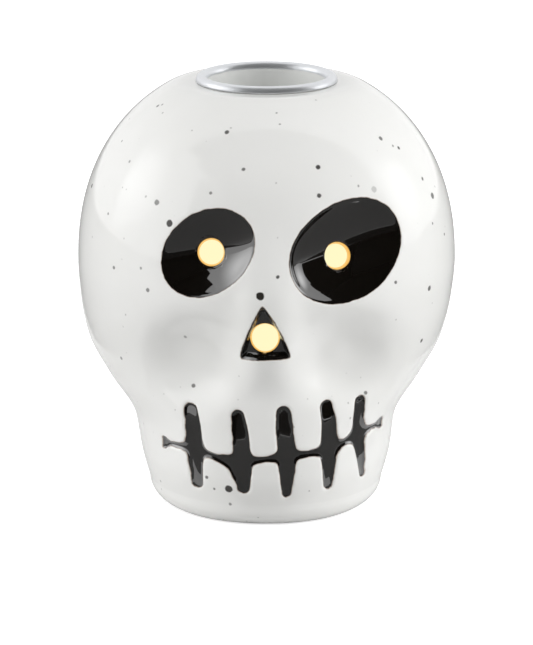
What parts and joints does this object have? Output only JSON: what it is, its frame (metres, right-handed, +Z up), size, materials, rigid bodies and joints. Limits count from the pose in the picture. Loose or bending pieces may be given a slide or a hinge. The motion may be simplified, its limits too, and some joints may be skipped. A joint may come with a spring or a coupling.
{
  "type": "taper candle holder",
  "caption": "Glazed ceramic skull with a metal cup for a taper candle in its crown, and a battery light in its base that shines out of its eyes and nose.",
  "frame": {"origin": "middle of the bounding box at the foot", "axes": "+Z up, the face looks along -Y, +X to the viewer's right"},
  "size_m": [0.0714, 0.074, 0.0809],
  "materials": {
    "glaze": "glossy",
    "cup": "polished",
    "white_plastic": "satin",
    "steel": "plated",
    "laminate": "satin",
    "lens": "glossy",
    "black_plastic": "satin"
  },
  "bodies": {
    "holder": {"skull_shell": "glaze", "candle_cup": "cup", "led_housing": "white_plastic", "base_plate": "white_plastic", "battery_door": "white_plastic", "door_screw": "steel", "plate_screw_left": "steel", "plate_screw_right": "steel", "coin_cell": "steel", "cell_contact_lower": "steel", "cell_contact_upper": "steel", "circuit_board": "laminate", "resistor": "black_plastic", "led_lamp": "lens", "switch_body": "steel"},
    "switch": {"switch_slider": "black_plastic"}
  },
  "joints": [
    {"name": "switch_slide", "type": "slide", "parent": "holder", "child": "switch", "axis": [1, 0, 0], "range_m": [0, 0.002]}
  ]
}
